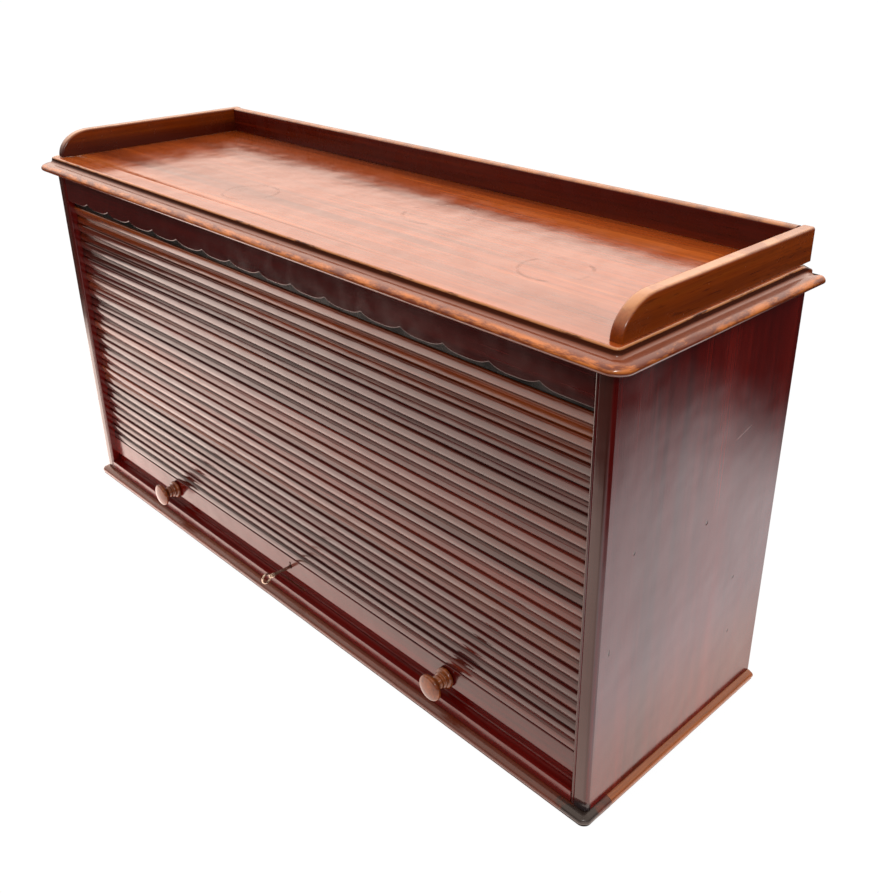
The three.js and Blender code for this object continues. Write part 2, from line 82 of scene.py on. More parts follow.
def make_camera():
    """A pinhole at the measured viewpoint, looking down on the front right corner."""
    data = bpy.data.cameras.new("camera")
    data.sensor_width = SENSOR_WIDTH_MM
    data.lens = FOCAL_PX * SENSOR_WIDTH_MM / FRAME_H_PX
    data.shift_x = (FRAME_W_PX / 2 - CENTRE_X_PX) / FRAME_H_PX
    data.shift_y = (CENTRE_Y_PX - FRAME_H_PX / 2) / FRAME_H_PX
    data.clip_start = NEAREST
    camera = bpy.data.objects.new("camera", data)
    bpy.context.scene.collection.objects.link(camera)
    forward = Vector(SIGHT).normalized()
    level = forward.cross(Vector((0, 0, 1))).normalized()
    right = Matrix.Rotation(math.radians(ROLL_DEG), 3, forward) @ level
    up = right.cross(forward)
    turn = Matrix((right, up, -forward)).transposed().to_4x4()
    camera.matrix_world = Matrix.Translation(EYE) @ turn
    bpy.context.scene.camera = camera


# ---------------------------------------------------------------- node materials
class Paint:
    """A node tree while it is put together. place is the point's position in the cabinet."""

    def __init__(self, owner, coordinates="Object"):
        owner.use_nodes = True
        self.owner = owner
        self.tree = owner.node_tree
        self.tree.nodes.clear()
        self.place = self.add("ShaderNodeTexCoord").outputs[coordinates]

    def add(self, kind, **settings):
        node = self.tree.nodes.new(kind)
        for key, value in settings.items():
            setattr(node, key, value)
        return node

    def feed(self, socket, value):
        if isinstance(value, bpy.types.NodeSocket):
            self.tree.links.new(value, socket)
        elif isinstance(value, (tuple, list)) and socket.type == "RGBA":
            socket.default_value = (*value, 1.0)
        else:
            socket.default_value = value

    def math(self, operation, a, b=0.0):
        node = self.add("ShaderNodeMath", operation=operation)
        self.feed(node.inputs[0], a)
        self.feed(node.inputs[1], b)
        return node.outputs[0]

    def times(self, first, *others):
        for other in others:
            first = self.math("MULTIPLY", first, other)
        return first

    def stretched(self, stretch, shift=(0, 0, 0)):
        node = self.add("ShaderNodeMapping")
        self.feed(node.inputs["Vector"], self.place)
        node.inputs["Location"].default_value = shift
        node.inputs["Scale"].default_value = stretch
        return node.outputs[0]

    def noise(self, vector, scale, detail=4.0, rough=0.55, distortion=0.0):
        node = self.add("ShaderNodeTexNoise")
        self.feed(node.inputs["Vector"], vector)
        node.inputs["Scale"].default_value = scale
        node.inputs["Detail"].default_value = detail
        node.inputs["Roughness"].default_value = rough
        node.inputs["Distortion"].default_value = distortion
        return node.outputs["Fac"]

    def span(self, value, low, high, to_low=0.0, to_high=1.0, smooth=True):
        """value mapped from low..high to to_low..to_high and held there outside."""
        node = self.add("ShaderNodeMapRange")
        node.interpolation_type = "SMOOTHSTEP" if smooth else "LINEAR"
        self.feed(node.inputs["Value"], value)
        node.inputs["From Min"].default_value = low
        node.inputs["From Max"].default_value = high
        node.inputs["To Min"].default_value = to_low
        node.inputs["To Max"].default_value = to_high
        return node.outputs["Result"]

    def mix(self, factor, a, b, blend="MIX"):
        """Colours a and b mixed. The colour sockets of the node are 6, 7 and output 2."""
        node = self.add("ShaderNodeMix", data_type="RGBA", blend_type=blend)
        self.feed(node.inputs["Factor"], factor)
        self.feed(node.inputs[6], a)
        self.feed(node.inputs[7], b)
        return node.outputs[2]

    def mix_numbers(self, factor, a, b):
        """Numbers a and b mixed. The number sockets of the node are 2, 3 and output 0."""
        node = self.add("ShaderNodeMix", data_type="FLOAT")
        self.feed(node.inputs["Factor"], factor)
        self.feed(node.inputs[2], a)
        self.feed(node.inputs[3], b)
        return node.outputs[0]

    def band(self, value, low, low_full, high_full, high):
        """1 between low_full and high_full, falling to 0 at low and at high."""
        return self.times(self.span(value, low, low_full), self.span(value, high_full, high, 1.0, 0.0))

    def axis(self, letter, vector=None):
        node = self.add("ShaderNodeSeparateXYZ")
        self.feed(node.inputs[0], vector or self.place)
        return node.outputs[letter]

    def facing(self, letter):
        """The surface normal's share along an axis of the cabinet."""
        return self.axis(letter, self.add("ShaderNodeNewGeometry").outputs["Normal"])

    def distance(self, centre, radii):
        """1 on the surface of an ellipsoid round centre, less inside it."""
        shift = self.add("ShaderNodeVectorMath", operation="SUBTRACT")
        self.feed(shift.inputs[0], self.place)
        shift.inputs[1].default_value = centre
        scale = self.add("ShaderNodeVectorMath", operation="DIVIDE")
        self.feed(scale.inputs[0], shift.outputs[0])
        scale.inputs[1].default_value = radii
        size = self.add("ShaderNodeVectorMath", operation="LENGTH")
        self.feed(size.inputs[0], scale.outputs[0])
        return size.outputs["Value"]

    def bump(self, height, depth, under=None):
        node = self.add("ShaderNodeBump")
        node.inputs["Strength"].default_value = 1.0
        node.inputs["Distance"].default_value = depth
        self.feed(node.inputs["Height"], height)
        if under:
            self.feed(node.inputs["Normal"], under)
        return node.outputs[0]

    def finish(self, colour, roughness, normal=None, metallic=0.0, ior=1.5, sheen=0.0):
        shader = self.add("ShaderNodeBsdfPrincipled")
        self.feed(shader.inputs["Base Color"], colour)
        self.feed(shader.inputs["Roughness"], roughness)
        shader.inputs["Metallic"].default_value = metallic
        shader.inputs["IOR"].default_value = ior
        shader.inputs["Sheen Weight"].default_value = sheen
        if normal:
            self.feed(shader.inputs["Normal"], normal)
        return self.surface("ShaderNodeOutputMaterial", shader)

    def surface(self, kind, shader):
        self.tree.links.new(shader.outputs[0], self.add(kind).inputs["Surface"])
        return self.owner


GRAIN = {"x": (0.06, 1.0, 1.0), "y": (1.0, 0.06, 1.0), "z": (1.0, 1.0, 0.06)}
STREAK = {"x": (0.02, 1.0, 1.0), "y": (1.0, 0.02, 1.0), "z": (1.0, 1.0, 0.02)}


def mahogany(name, tones, grain, seed, gloss, ior=1.55, figure=(0.36, 0.64), marks_and_light=None, worn=None):
    """French-polished mahogany: broad figure, fine streaks, short dark pores and a soft waviness.

    tones are the dark, middle and light colour, figure the noise values of the dark and the light one.
    gloss is the mean roughness. marks_and_light and worn add what is special to one piece: real marks and
    painted light both, and worn paints upward faces paler, a painted highlight with wear.
    """
    dark, middle, light = tones
    paint = Paint(bpy.data.materials.new(name))
    shift = (seed * 1.37, seed * 2.11, seed * 0.73)
    broad = paint.noise(paint.stretched(GRAIN[grain], shift), 9.0, 3.0, 0.5, 0.6)
    fine = paint.noise(paint.stretched(STREAK[grain], shift), 260.0, 3.0, 0.6, 0.2)
    ribbon = paint.noise(paint.stretched(STREAK[grain], shift), 60.0, 4.0, 0.62, 0.4)
    pores = paint.noise(paint.stretched(GRAIN[grain], shift), 900.0, 2.0, 0.5)
    tone = paint.math("ADD", paint.times(broad, 0.5), paint.times(ribbon, 0.5))
    colour = paint.mix(paint.span(tone, figure[0], 0.5), dark, middle)
    colour = paint.mix(paint.span(tone, 0.5, figure[1]), colour, light)
    streak = paint.span(fine, 0.35, 0.7, 0.80, 1.12)
    colour = paint.mix(1.0, colour, tint(paint, streak), "MULTIPLY")
    colour = paint.mix(paint.span(pores, 0.60, 0.72, 0.0, 0.55), colour, [c * 0.35 for c in dark])
    # worn: upward faces painted paler, a painted highlight with wear.
    if worn:
        colour = worn(paint, colour)
    swell = paint.noise(paint.stretched((1, 1, 1), shift), 14.0, 2.0, 0.5)
    smear = paint.noise(paint.stretched((1, 1, 1), shift), 38.0, 4.0, 0.6)
    normal = paint.bump(swell, 0.0012)
    normal = paint.bump(pores, 0.00003, normal)
    normal = paint.bump(fine, 0.00002, normal)
    roughness = paint.span(smear, 0.3, 0.7, gloss * 0.8, gloss * 1.3)
    # Real marks, and painted shade, reflection and highlights, by piece.
    if marks_and_light:
        colour, roughness, normal = marks_and_light(paint, colour, roughness, normal)
    return paint.finish(colour, roughness, normal, ior=ior)


def tint(paint, value):
    """A grey from one number, to multiply a colour by."""
    node = paint.add("ShaderNodeCombineColor")
    for channel in ("Red", "Green", "Blue"):
        paint.feed(node.inputs[channel], value)
    return node.outputs[0]


def spots(paint, colour, normal, places, shade, depth):
    """Small dents at the given (centre, radii), dark at the bottom."""
    for centre, radii in places:
        inside = paint.span(paint.distance(centre, radii), 0.55, 1.0, 1.0, 0.0)
        colour = paint.mix(inside, colour, shade)
        normal = paint.bump(inside, -depth, normal)
    return colour, normal


RINGS = (((0.105, 0.030, TOP_Z), 0.036), ((-0.105, -0.050, TOP_Z), 0.030), ((0.300, -0.020, TOP_Z), 0.032))


def moulding_colour_and_light(paint):
    """Colours of the top's moulded edge by height: a rubbed crest of worn polish with a painted highlight, a
    painted reflection in the cove, painted shade in the dark quirk and a painted highlight on the pale arris.
    """
    height = paint.axis("Z")
    patch = paint.noise(paint.stretched((0.5, 0.5, 3.0)), 60.0, 5.0, 0.7)
    # Crest: polish rubbed through in patches, which also serves as a painted highlight on the nose.
    crest = paint.band(height, 0.4355, 0.4375, 0.4400, 0.4418)
    rubbed = paint.times(paint.span(patch, 0.40, 0.62), crest)
    colour = paint.mix(rubbed, (0.140, 0.024, 0.006), (0.56, 0.180, 0.036))
    # Painted reflection: the cove is painted lighter.
    cove_reflection = paint.times(paint.band(height, 0.4405, 0.4420, 0.4436, 0.4450), 0.6)
    colour = paint.mix(cove_reflection, colour, (0.200, 0.050, 0.014))
    # Painted shade: the quirk under the arris is painted dark.
    colour = paint.mix(paint.span(height, 0.4440, 0.4450), colour, (0.060, 0.0130, 0.0050))
    # Painted highlight: the pale arris, broken in patches.
    arris_highlight = paint.times(paint.span(height, 0.4478, 0.4488), paint.span(patch, 0.35, 0.5))
    return paint.mix(arris_highlight, colour, (0.50, 0.22, 0.09))


def top_marks_and_light(paint, colour, roughness, normal):
    """Rings left by glasses and scratches on the top, and below it the colours of the moulding with their
    painted highlights, reflection and shade.
    """
    flat_top = paint.span(paint.axis("Z"), TOP_Z - 0.25 * MM, TOP_Z - 0.05 * MM)
    # The moulding's colours carry painted light and shade.
    colour = paint.mix(flat_top, moulding_colour_and_light(paint), colour)
    for centre, radius in RINGS:
        reach = paint.distance(centre, (radius, radius, 1.0))
        broken = paint.span(paint.noise(paint.place, 55.0), 0.42, 0.62)
        ring = paint.times(paint.band(reach, 0.90, 1.0, 1.0, 1.09), broken)
        colour = paint.mix(paint.times(ring, 0.35), colour, (0.05, 0.012, 0.006))
        roughness = paint.math("ADD", roughness, paint.times(ring, 0.15))
    scratch = paint.noise(paint.stretched((0.25, 3.0, 1.0), (3, 1, 0)), 120.0, 1.0, 0.4, 1.5)
    line = paint.span(scratch, 0.705, 0.73)
    colour = paint.mix(paint.times(line, 0.25), colour, (0.06, 0.015, 0.008))
    return colour, roughness, normal


DENTS_MM = (  # place along Y and Z on the right side, and radii along Y and Z
    (29.4, 241.8, 2.2, 2.6), (-76.7, 261.0, 1.6, 2.0), (88.4, 155.7, 2.2, 2.0),
    (91.7, 91.4, 1.8, 2.4), (-101.0, 176.0, 1.2, 4.0),
)
SCRATCH_RISE = 0.272  # height gained per depth along the pale scratch
SCRATCH_Z = 0.2930  # its height where the depth is 0


def side_marks_and_reflection(paint, colour, roughness, normal):
    """Front faces painted greyer as a painted reflection, small dark dents in the right side, a worn foot, and
    one pale scratch.
    """
    x = SIDE_HIGH.x
    places = [((x, y * MM, z * MM), (0.01, ry * MM, rz * MM)) for y, z, ry, rz in DENTS_MM]
    places.append(((x, FRONT_Y, 0.0100), (0.020, 0.0080, 0.0120)))
    # Painted reflection: faces that look forward are painted a greyer colour.
    front = paint.span(paint.facing("Y"), -0.95, -0.70, 1.0, 0.0)
    colour = paint.mix(paint.times(front, 0.75), colour, (0.036, 0.0160, 0.0130))
    depth = paint.axis("Y")
    line_z = paint.math("ADD", paint.times(depth, SCRATCH_RISE), SCRATCH_Z)
    off_line = paint.math("ABSOLUTE", paint.math("SUBTRACT", paint.axis("Z"), line_z))
    scratch = paint.times(paint.span(off_line, 0.0002, 0.0007, 0.5, 0.0),
                          paint.band(depth, 0.060, 0.068, 0.080, 0.0885),
                          paint.span(paint.facing("X"), 0.8, 0.95))
    colour = paint.mix(scratch, colour, (0.40, 0.30, 0.28))
    colour, normal = spots(paint, colour, normal, places, (0.012, 0.008, 0.010), 0.0005)
    return colour, roughness, normal


def slat_painted_shade(paint, colour, roughness, normal):
    """Painted shade in the hollow under each swell, where the surface faces down: darker there, and rougher.
    """
    hollow = paint.span(paint.facing("Z"), -0.80, -0.35, 1.0, 0.0)
    # Painted shade: the downward faces are painted dark.
    colour = paint.mix(paint.times(hollow, 0.8), colour, (0.012, 0.0015, 0.0010))
    return colour, paint.math("ADD", roughness, paint.times(hollow, 0.40)), normal


def gallery_foot_shade(paint, colour, roughness, normal):
    """Painted shade: the inner face of the left gallery side is darker towards its foot."""
    # Painted shade, deepest at the foot of the left gallery side.
    inner = paint.span(paint.axis("X"), -0.3, 0.3, 0.9, 0.0)
    foot = paint.span(paint.axis("Z"), 0.456, 0.476, 1.0, 0.25)
    return paint.mix(paint.times(inner, foot), colour, (0.038, 0.0012, 0.0005)), roughness, normal


def base_marks(paint, colour, roughness, normal):
    """Black grime round the worn right corner of the base."""
    corner = (SIDE_HIGH.x, FRONT_Y - 0.004, 0.006)
    reach = paint.math("ADD", paint.distance(corner, (0.030, 0.020, 0.030)),
                       paint.span(paint.noise(paint.place, 140.0, 4.0, 0.65), 0.3, 0.7, -0.3, 0.3))
    dirt = paint.span(reach, 0.5, 1.1, 0.95, 0.0)
    return paint.mix(dirt, colour, (0.010, 0.008, 0.007)), roughness, normal


def lit_and_worn_tops(shade):
    """A paler colour on upward faces, in patches: a painted highlight where the surface turns up, together
    with polish rubbed thin.
    """
    def lit_and_worn(paint, colour):
        # Painted highlight and wear: upward faces are painted paler.
        up = paint.span(paint.facing("Z"), 0.4, 0.9)
        patchy = paint.span(paint.noise(paint.place, 45.0, 5.0, 0.65), 0.35, 0.6, 0.35, 1.0)
        return paint.mix(paint.times(up, patchy), colour, shade)
    return lit_and_worn


CASE_TONES = ((0.050, 0.0014, 0.0011), (0.085, 0.0028, 0.0020), (0.130, 0.0070, 0.0045))
FRIEZE_TONES = ((0.030, 0.0026, 0.0024), (0.052, 0.0048, 0.0042), (0.082, 0.0095, 0.0075))
# Near black and grey: painted shade on the strip that leads the tambour, under the frieze.
SHADED_BAND_TONES = ((0.0020, 0.0022, 0.0020), (0.0045, 0.0045, 0.0038), (0.010, 0.0080, 0.0065))
TOP_TONES = ((0.150, 0.026, 0.0030), (0.270, 0.052, 0.0060), (0.400, 0.100, 0.015))
GALLERY_TONES = ((0.030, 0.0010, 0.0004), (0.060, 0.0030, 0.0005), (0.11, 0.010, 0.0010))
GALLERY_SIDE_TONES = ((0.130, 0.017, 0.0006), (0.210, 0.036, 0.0008), (0.29, 0.062, 0.002))
BASE_TONES = ((0.045, 0.006, 0.002), (0.095, 0.017, 0.006), (0.20, 0.055, 0.020))
BASE_SIDE_TONES = ((0.16, 0.034, 0.004), (0.32, 0.095, 0.012), (0.48, 0.19, 0.040))
KNOB_TONES = ((0.06, 0.009, 0.002), (0.12, 0.024, 0.004), (0.22, 0.060, 0.012))
INSIDE_TONES = ((0.07, 0.02, 0.008), (0.12, 0.037, 0.014), (0.18, 0.06, 0.024))
PINE_TONES = ((0.10, 0.045, 0.016), (0.20, 0.10, 0.04), (0.30, 0.17, 0.075))
SLAT_WOODS = {
    "red": ((0.026, 0.0018, 0.0014), (0.055, 0.0045, 0.0032), (0.110, 0.016, 0.009)),
    "brown": ((0.036, 0.0040, 0.0018), (0.078, 0.0110, 0.0045), (0.16, 0.034, 0.013)),
    "orange": ((0.070, 0.0080, 0.0014), (0.130, 0.0210, 0.0034), (0.23, 0.052, 0.008)),
}


def make_woods():
    """Every wood by name. The grain runs along the letter, and no two seeds are the same."""
    woods = {
        "side": mahogany("mahogany_side", CASE_TONES, "z", 1.0, 0.15, marks_and_light=side_marks_and_reflection),
        "front": mahogany("mahogany_front", CASE_TONES, "x", 2.0, 0.17),
        "frieze": mahogany("mahogany_frieze", FRIEZE_TONES, "x", 3.0, 0.18),
        # The band wood carries painted shade.
        "band": mahogany("mahogany_band", SHADED_BAND_TONES, "x", 13.0, 0.26),
        "top": mahogany("mahogany_top", TOP_TONES, "x", 4.0, 0.17, marks_and_light=top_marks_and_light),
        "gallery": mahogany("mahogany_gallery", GALLERY_TONES, "x", 5.0, 0.26, ior=1.42,
                            worn=lit_and_worn_tops((0.36, 0.15, 0.055))),
        "gallery_side": mahogany("mahogany_gallery_side", GALLERY_SIDE_TONES, "y", 6.0, 0.22,
                                 marks_and_light=gallery_foot_shade, worn=lit_and_worn_tops((0.44, 0.20, 0.075))),
        "base": mahogany("mahogany_base", BASE_TONES, "x", 7.0, 0.24, marks_and_light=base_marks),
        "base_side": mahogany("mahogany_base_side", BASE_SIDE_TONES, "y", 8.0, 0.24),
        "knob": mahogany("mahogany_knob", KNOB_TONES, "y", 9.0, 0.09),
        "inside": mahogany("dull_inside_wood", INSIDE_TONES, "x", 10.0, 0.5),
        "divider": mahogany("dull_divider_wood", INSIDE_TONES, "z", 11.0, 0.5),
        "back": mahogany("stained_pine", PINE_TONES, "z", 12.0, 0.62),
    }
    for tone, tones in SLAT_WOODS.items():
        for variant in (0, 1):
            woods[f"slat_{tone}_{variant}"] = mahogany(
                f"mahogany_slat_{tone}_{variant}", tones, "x", 20.0 + 3.3 * variant + len(tone), 0.16,
                figure=(0.41, 0.59), marks_and_light=slat_painted_shade)
    return woods


def metal(name, base, spots_colour, roughness):
    """Old metal: a dull skin with brighter rubbed patches and dark spots."""
    paint = Paint(bpy.data.materials.new(name))
    patch = paint.noise(paint.place, 320.0, 5.0, 0.65)
    colour = paint.mix(paint.span(patch, 0.42, 0.66), base, spots_colour)
    rough = paint.span(patch, 0.3, 0.7, roughness * 0.8, roughness * 1.4)
    normal = paint.bump(paint.noise(paint.place, 1500.0, 3.0), 0.00004)
    return paint.finish(colour, rough, normal, metallic=1.0)


def linen():
    """Plain weave backing cloth, stained brown by glue along the slats."""
    threads = 5200.0  # radians of the weave in a metre
    paint = Paint(bpy.data.materials.new("linen_canvas"))
    across = paint.math("SINE", paint.times(paint.axis("X"), threads))
    along = paint.math("SINE", paint.times(paint.axis("Z"), threads))
    weave = paint.times(across, along)
    stain = paint.noise(paint.stretched((0.3, 1.0, 1.0)), 40.0, 5.0, 0.6)
    colour = paint.mix(paint.span(stain, 0.4, 0.65), (0.42, 0.34, 0.22), (0.20, 0.12, 0.06))
    colour = paint.mix(paint.span(weave, -1.0, 1.0, 0.0, 0.3), colour, (0.14, 0.09, 0.05))
    return paint.finish(colour, 0.85, paint.bump(weave, 0.0001), sheen=0.2)


# ---------------------------------------------------------------- mesh helpers
LEVEL_DEG = 0.5  # faces that meet at less than this are one flat face

# Radii of the eased arrises.
BOARD_EDGE = 0.0005
FRIEZE_EDGE = 0.0008
TAMBOUR_EDGE = 0.0004
INSIDE_EDGE = 0.0006
METAL_EDGE = 0.0002


def new_piece(name, points, faces, material, body, slot, *replaced, sharp=SHARP_DEG):
    """A piece made of points and faces. It rides on body and stands for the replaced nodes."""
    mesh = bpy.data.meshes.new(name)
    mesh.from_pydata([tuple(p) for p in points], [], faces)
    return mesh_piece(name, mesh, material, body, slot, *replaced, sharp=sharp)


def mesh_piece(name, mesh, material, body, slot, *replaced, sharp=SHARP_DEG):
    work = bmesh.new()
    work.from_mesh(mesh)
    bmesh.ops.remove_doubles(work, verts=work.verts, dist=WELD)
    bmesh.ops.recalc_face_normals(work, faces=work.faces)
    work.to_mesh(mesh)
    work.free()
    mesh.shade_smooth()
    mesh.set_sharp_from_angle(angle=math.radians(sharp))
    mesh.materials.clear()
    mesh.materials.append(material)
    piece = bpy.data.objects.new(name, mesh)
    bpy.context.scene.collection.objects.link(piece)
    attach(piece, body)
    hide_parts(*replaced)
    return piece


def ease_edges(piece, width, segments):
    """Rounds the arrises of a piece and keeps its big faces flat to the eye."""
    bevel = piece.modifiers.new("eased_edges", "BEVEL")
    bevel.width = width
    bevel.segments = segments
    bevel.limit_method = "ANGLE"
    bevel.angle_limit = math.radians(SHARP_DEG)
    level = piece.modifiers.new("level_faces", "WEIGHTED_NORMAL")
    level.keep_sharp = True


def dress(node, material, body, slot, edge, segments=2):
    """A finer copy of a CAD board: merged, with eased arrises."""
    source = NODES[node].data
    work = bmesh.new()
    work.from_mesh(source)
    bmesh.ops.remove_doubles(work, verts=work.verts, dist=WELD)
    bmesh.ops.dissolve_limit(work, angle_limit=math.radians(LEVEL_DEG), verts=work.verts, edges=work.edges)
    mesh = bpy.data.meshes.new(node + "_fine")
    work.to_mesh(mesh)
    work.free()
    piece = mesh_piece(node + "_fine", mesh, material, body, slot, node)
    ease_edges(piece, edge, segments)
    return piece


def sweep(sections):
    """Points and faces of a skin over equal-length closed rings of 3-D points, closed at both ends."""
    count = len(sections[0])
    points = [p for section in sections for p in section]
    faces = []
    for k in range(len(sections) - 1):
        for i in range(count):
            j = (i + 1) % count
            a, b = k * count + i, k * count + j
            faces.append((a, b, b + count, a + count))
    last = (len(sections) - 1) * count
    faces.append(tuple(range(count))[::-1])
    faces.append(tuple(range(last, last + count)))
    return points, faces


def arc(u, v, radius, start, end, steps):
    """Points of an arc round (u, v) between two angles in degrees."""
    turns = [math.radians(start + (end - start) * i / steps) for i in range(steps + 1)]
    return [(u + radius * math.cos(t), v + radius * math.sin(t)) for t in turns]


def flowing(points, steps):
    """A smooth curve through the points (Catmull-Rom), with steps pieces to each span."""
    ends = [points[0], *points, points[-1]]
    out = []
    for k in range(len(points) - 1):
        p0, p1, p2, p3 = (Vector(p) for p in ends[k:k + 4])
        for i in range(steps):
            t = i / steps
            out.append(0.5 * ((2 * p1) + (p2 - p0) * t + (2 * p0 - 5 * p1 + 4 * p2 - p3) * t * t
                              + (3 * p1 - p0 - 3 * p2 + p3) * t ** 3))
    out.append(Vector(points[-1]))
    return [tuple(p) for p in out]


def evenly(low, high, count):
    """count + 1 numbers from low to high."""
    return [low + (high - low) * i / count for i in range(count + 1)]


def waver(point, scale, amount):
    """A small smooth random offset, the same on every run."""
    return noise.noise(Vector(point) * scale) * amount


# ---------------------------------------------------------------- moulded slabs
SIDE_STEPS, FRONT_STEPS, CORNER_STEPS = 28, 96, 10
END_ZONE_X = 0.44  # points further out than this are on a moulded end
CALM_BACK = 0.02  # the unevenness dies out over this distance from the back


def moulded_slab(levels, half_x, y_front, y_back, corner, dents, ripple):
    """A slab moulded on three sides. levels are (outward, z) pairs from the foot to the top.

    corner is the radius of the plan's front corners, which grows with the moulding.
    """
    sections = []
    for out, z in levels:
        x, y = half_x + out, y_front - out
        radius = max(corner + out * 0.85, 0.0008)
        ring = [(-x, py) for py in evenly(y_back, y + radius, SIDE_STEPS)[:-1]]
        ring += arc(-x + radius, y + radius, radius, 180, 270, CORNER_STEPS)
        ring += [(px, y) for px in evenly(-x + radius, x - radius, FRONT_STEPS)[1:-1]]
        ring += arc(x - radius, y + radius, radius, 270, 360, CORNER_STEPS)
        ring += [(x, py) for py in evenly(y + radius, y_back, SIDE_STEPS)[1:]]
        sections.append([knocked(Vector((px, py, z)), dents, ripple, y_back) for px, py in ring])
    return sweep(sections)


def knocked(point, dents, ripple, y_back):
    """Moves a point in a little where the edge has been knocked. dents are (place, radius, push)."""
    away = min(1.0, (y_back - point.y) / CALM_BACK)
    rough = waver(point, 60.0, ripple) + waver(point, 17.0, ripple)
    inward = Vector((-math.copysign(1, point.x) if abs(point.x) > END_ZONE_X else 0.0,
                     1.0 if point.y < FRONT_Y else 0.0, 0.0))
    moved = point + inward * (abs(rough) * away)
    for place, radius, push in dents:
        reach = (point - Vector(place)).length / radius
        if reach < 1:
            moved += Vector(push) * (1 - reach * reach) ** 2
    return moved


TOP_CORNER = 0.002
TOP_RIPPLE = 0.00012
TOP_FOOT_MM = ((0.4, 434.0), (1.2, 433.0), (13.4, 433.0))  # the drip step under the nose
TOP_CURVE_MM = (
    (14.2, 433.1), (15.6, 433.9), (16.5, 435.2), (16.7, 436.5), (16.2, 438.0), (14.8, 439.5),
    (12.2, 440.9), (9.2, 441.8), (6.4, 442.5), (4.6, 443.8), (3.9, 445.8), (3.75, 448.2),
)
TOP_HEAD_MM = (
    (3.6, 448.9), (3.3, 449.5), (2.9, 449.85), (2.4, 450.0), (1.4, 450.0),
    (-20.0, 450.0),  # a ring inside the edge, so that knocks don't tilt the flat
)


def build_top(woods):
    profile = [*TOP_FOOT_MM, *flowing(TOP_CURVE_MM, 4), *TOP_HEAD_MM]
    levels = [(out * MM, z * MM) for out, z in profile]
    nose_y, nose_z = FRONT_Y - 0.0165, 0.438
    dents = (  # place, radius, push
        ((-0.315, nose_y, nose_z + 0.002), 0.0045, (0, 0.0018, -0.0014)),
        ((0.246, nose_y, nose_z), 0.0040, (0, 0.0010, -0.0008)),
        ((0.060, nose_y, nose_z + 0.001), 0.0035, (0, 0.0008, -0.0006)),
        ((0.4555, -0.050, nose_z + 0.002), 0.0040, (-0.0014, 0, -0.0008)),
        ((0.4555, -0.030, nose_z + 0.001), 0.0035, (-0.0012, 0, -0.0006)),
        ((0.4550, -0.1330, nose_z), 0.0110, (-0.0010, 0.0010, 0)),
        ((0.4420, BACK_Y, 0.4500), 0.0150, (0, 0, -0.0060)),
        ((-0.4430, -0.1210, 0.4500), 0.0080, (0.0015, 0.0010, -0.0020)),
    )
    points, faces = moulded_slab(levels, SIDE_HIGH.x, FRONT_Y, BACK_Y, TOP_CORNER, dents, TOP_RIPPLE)
    new_piece("top_board_fine", points, faces, woods["top"], "case", "mahogany_top", "top_board")


BASE_CORNER = 0.001
BASE_RIPPLE = 0.00018


def base_levels():
    """Section of the base moulding, (outward, z), with the box of the front strip."""
    low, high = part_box("base_front_moulding")
    out = FRONT_Y - low.y
    section = [(out - 0.0012, 0.0), *[(u, v) for u, v in arc(out - 0.0036, 0.0042, 0.0036, -60, 75, 9)],
               (out - 0.0042, high.z - 0.0006), (out - 0.0055, high.z), (0.0, high.z)]
    return section, low, high


def build_base(woods):
    section, low, high = base_levels()
    chips = (
        ((high.x, low.y, 0.004), 0.0070, (-0.0010, 0.0012, -0.0004)),
        ((0.180, low.y, 0.005), 0.0040, (0, 0.0009, -0.0005)),
        ((-0.120, low.y, 0.005), 0.0035, (0, 0.0007, -0.0005)),
    )
    reach = high.x - (FRONT_Y - low.y)
    points, faces = moulded_slab(section, reach, FRONT_Y, high.y, BASE_CORNER, chips, BASE_RIPPLE)
    new_piece("base_front_fine", points, faces, woods["base"], "case", "mahogany_edge",
              "base_front_moulding")
    for side, sign in (("left", -1), ("right", 1)):
        node = f"base_{side}_moulding"
        start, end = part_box(node)
        foot = start.x if sign > 0 else end.x
        profile = [(foot, 0.0), *[(sign * (reach + out), z) for out, z in section[:-1]],
                   (foot, high.z)]
        stations = []
        for y in evenly(start.y, end.y, 40):
            stations.append([(x - sign * abs(waver((x, y, z), 55.0, 0.0002)) * (abs(x) > END_ZONE_X), y, z)
                             for x, z in profile])
        points, faces = sweep(stations)
        new_piece(f"base_{side}_fine", points, faces, woods["base_side"], "case", "mahogany_edge", node)


# ---------------------------------------------------------------- gallery
GALLERY_ROUND = 0.0024  # radius of the rounded upper arrises
GALLERY_SWEEP_Y = 0.040  # how far back the quarter curve at the front end runs
BACK_CROWN = 0.45  # height of the back board's rounding as a share of half its thickness


def gallery_outline(low, high, inset):
    """Outline of a gallery side, (y, z), drawn in by inset along the front curve and the top."""
    rise = high.z - low.z
    curve = [(low.y + GALLERY_SWEEP_Y * (1 - math.cos(t)) + inset * math.cos(t),
              low.z + rise * math.sin(t) - inset * math.sin(t)) for t in evenly(0, math.pi / 2, 28)]
    top = [(y, high.z - inset) for y in evenly(low.y + GALLERY_SWEEP_Y, high.y, 24)[1:]]
    foot = [(y, low.z) for y in evenly(high.y, curve[0][0], 12)[:-1]]
    return [*curve, *top, *foot]


